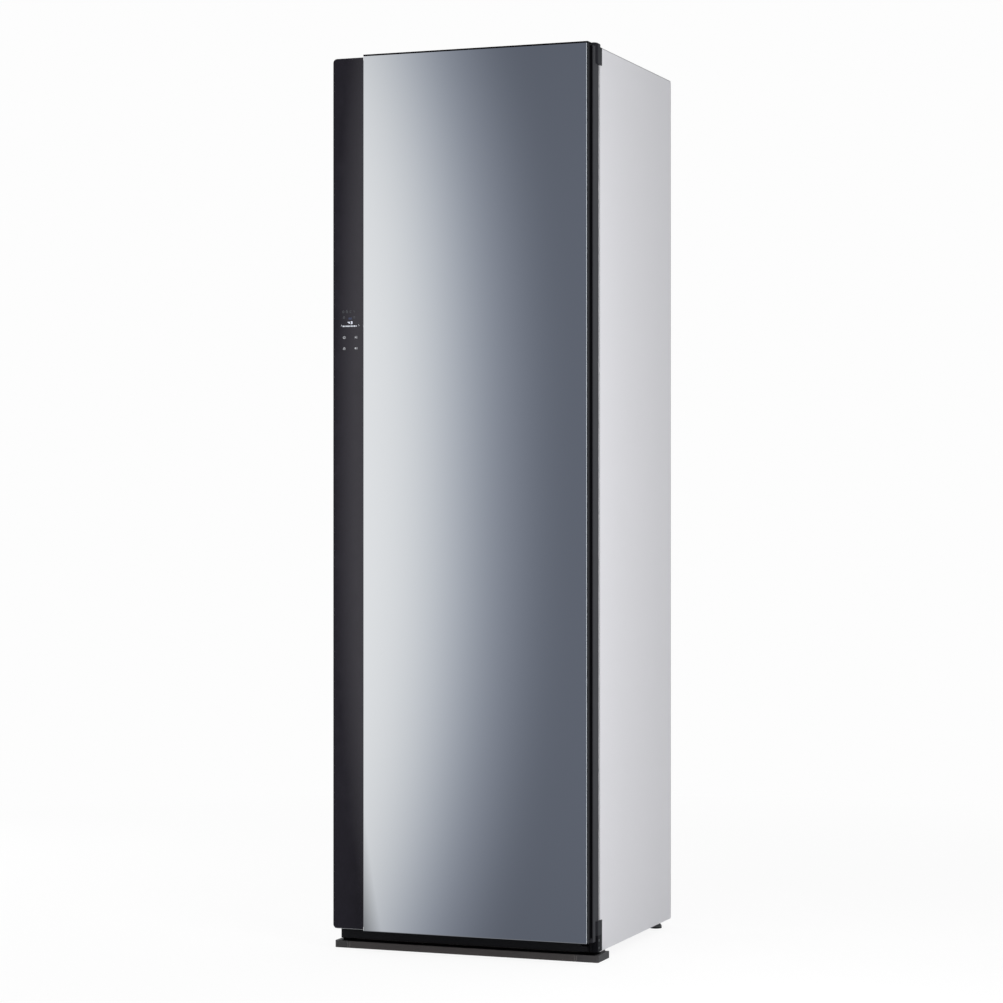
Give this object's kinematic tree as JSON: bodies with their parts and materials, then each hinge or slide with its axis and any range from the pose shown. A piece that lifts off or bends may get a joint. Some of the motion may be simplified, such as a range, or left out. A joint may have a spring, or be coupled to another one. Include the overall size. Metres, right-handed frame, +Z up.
{
  "type": "clothes care steam cabinet",
  "caption": "Tall free-standing clothes care steam cabinet with a hinged full-height mirror door, hanging chamber, moving hanger bar and pull-out water tanks.",
  "frame": {"origin": "on the floor, in the middle of the cabinet's width and depth", "axes": "+Z up, -Y out of the mirror door, +X to the right of a person who faces the door"},
  "size_m": [0.6134, 0.596, 1.966],
  "materials": {
    "mirror": "polished silvered glass",
    "black_glass": "opaque black back-painted glass",
    "white_steel": "white satin powder coat",
    "dark_plastic": "dark grey moulded plastic",
    "black_plastic": "black moulded plastic",
    "white_plastic": "white moulded plastic",
    "grey_plastic": "grey moulded plastic",
    "galvanised": "galvanised steel",
    "dark_steel": "black stove enamel",
    "seal": "soft black seal",
    "foam": "insulating foam",
    "aluminium": "satin anodised",
    "steel": "turned steel",
    "tank_grey": "tinted blow-moulded plastic",
    "cap_blue": "blue moulded plastic",
    "lamp": "opal lens",
    "copper": "copper and aluminium coil"
  },
  "bodies": {
    "cabinet": {"side_panel_left": "white_steel", "side_panel_right": "white_steel", "top_panel": "white_steel", "rear_panel": "galvanised", "base_pan": "galvanised", "front_frame": "white_plastic", "kick_panel": "black_plastic", "front_plinth": "dark_plastic", "plinth_cap_left": "dark_plastic", "plinth_cap_right": "dark_plastic", "foot_nuts": "steel", "cord_gland": "black_plastic", "chamber_liner": "white_plastic", "side_insulation": "foam", "steam_outlet": "grey_plastic", "air_grille": "grey_plastic", "chamber_lamp": "lamp", "tank_fascia": "white_plastic", "steam_generator": "steel", "compressor": "dark_steel", "condenser": "copper", "evaporator": "copper", "blower_housing": "grey_plastic", "blower_motor": "galvanised", "control_box": "grey_plastic", "drive_plate": "galvanised", "crank_bracket": "steel", "hanger_motor": "dark_steel", "drive_belt": "seal", "hinge_cover_top": "dark_plastic", "hinge_cover_bottom": "dark_plastic", "hinge_bracket_top": "steel", "hinge_bracket_bottom": "dark_steel"},
    "door": {"door_housing": "dark_plastic", "door_bushes": "grey_plastic", "door_insulation": "foam", "display_module": "black_plastic", "door_liner": "white_plastic", "door_gasket": "seal", "mirror_glass": "mirror", "mirror_carrier": "black_plastic", "control_strip": "black_glass", "press_board": "grey_plastic"},
    "press": {"press_plate": "white_plastic"},
    "hanger": {"hanger_yoke": "aluminium", "hanger_bar": "aluminium"},
    "crank": {"crank_pulley": "steel"},
    "small_pulley": {"motor_pulley": "steel"},
    "fan": {"blower_impeller": "black_plastic"},
    "shelf_body": {"shelf": "white_plastic"},
    "filter_body": {"lint_filter": "grey_plastic"},
    "aroma_body": {"aroma_case": "grey_plastic"},
    "supply_body": {"supply_tank": "tank_grey"},
    "supply_lid": {"supply_cap": "cap_blue"},
    "drain_body": {"drain_tank": "tank_grey"},
    "drain_lid": {"drain_cap": "cap_blue"},
    "leveller_front_left": {"foot_front_left": "grey_plastic"},
    "leveller_front_right": {"foot_front_right": "grey_plastic"},
    "leveller_rear_left": {"foot_rear_left": "grey_plastic"},
    "leveller_rear_right": {"foot_rear_right": "grey_plastic"}
  },
  "joints": [
    {"name": "door_hinge", "type": "hinge", "parent": "cabinet", "child": "door", "pos_m": [0.2915, -0.234, 1], "axis": [0, 0, 1], "range_deg": [0, 110]},
    {"name": "press_hinge", "type": "hinge", "parent": "door", "child": "press", "pos_m": [0.2, -0.202, 1.12], "axis": [0, 0, -1], "range_deg": [0, 90]},
    {"name": "crank_turn", "type": "hinge", "parent": "cabinet", "child": "crank", "pos_m": [0, 0, 1.888], "axis": [0, 0, -1], "range_deg": [-45, 45]},
    {"name": "hanger_slide", "type": "slide", "parent": "cabinet", "child": "hanger", "axis": [1, 0, 0], "range_m": [-0.0156, 0.0156]},
    {"name": "motor_turn", "type": "hinge", "parent": "cabinet", "child": "small_pulley", "pos_m": [0, 0.12, 1.888], "axis": [0, 0, -1], "range_deg": [-135.01, 135.01]},
    {"name": "fan_spin", "type": "hinge", "parent": "cabinet", "child": "fan", "pos_m": [0, 0.025, 0.38], "axis": [0, 0, 1], "continuous": true},
    {"name": "shelf_lift", "type": "slide", "parent": "cabinet", "child": "shelf_body", "axis": [0, 0, 1], "range_m": [0, 0.15]},
    {"name": "filter_lift", "type": "slide", "parent": "cabinet", "child": "filter_body", "axis": [0, 0, 1], "range_m": [0, 0.06]},
    {"name": "aroma_lift", "type": "slide", "parent": "cabinet", "child": "aroma_body", "axis": [0, 0, 1], "range_m": [0, 0.04]},
    {"name": "supply_pull", "type": "slide", "parent": "cabinet", "child": "supply_body", "axis": [0, -1, 0], "range_m": [0, 0.2305]},
    {"name": "supply_cap_turn", "type": "hinge", "parent": "supply_body", "child": "supply_lid", "pos_m": [-0.115, -0.13, 0.31], "axis": [0, 0, 1], "range_deg": [0, 90]},
    {"name": "drain_pull", "type": "slide", "parent": "cabinet", "child": "drain_body", "axis": [0, -1, 0], "range_m": [0, 0.2305]},
    {"name": "drain_cap_turn", "type": "hinge", "parent": "drain_body", "child": "drain_lid", "pos_m": [0.115, -0.13, 0.31], "axis": [0, 0, 1], "range_deg": [0, 90]},
    {"name": "level_front_left", "type": "hinge", "parent": "cabinet", "child": "leveller_front_left", "pos_m": [-0.272, -0.179, 0.01], "axis": [0, 0, 1], "range_deg": [-180, 180]},
    {"name": "level_front_right", "type": "hinge", "parent": "cabinet", "child": "leveller_front_right", "pos_m": [0.272, -0.179, 0.01], "axis": [0, 0, 1], "range_deg": [-180, 180]},
    {"name": "level_rear_left", "type": "hinge", "parent": "cabinet", "child": "leveller_rear_left", "pos_m": [-0.272, 0.27, 0.01], "axis": [0, 0, 1], "range_deg": [-180, 180]},
    {"name": "level_rear_right", "type": "hinge", "parent": "cabinet", "child": "leveller_rear_right", "pos_m": [0.272, 0.27, 0.01], "axis": [0, 0, 1], "range_deg": [-180, 180]}
  ],
  "couplings": [
    {"joint": "hanger_slide", "follows": "crank_turn", "m_per_rad": 0.0198},
    {"joint": "motor_turn", "follows": "crank_turn", "ratio": 3},
    {"joint": "supply_pull", "follows": "door_hinge", "m_per_rad": 0.12},
    {"joint": "drain_pull", "follows": "door_hinge", "m_per_rad": 0.12}
  ]
}
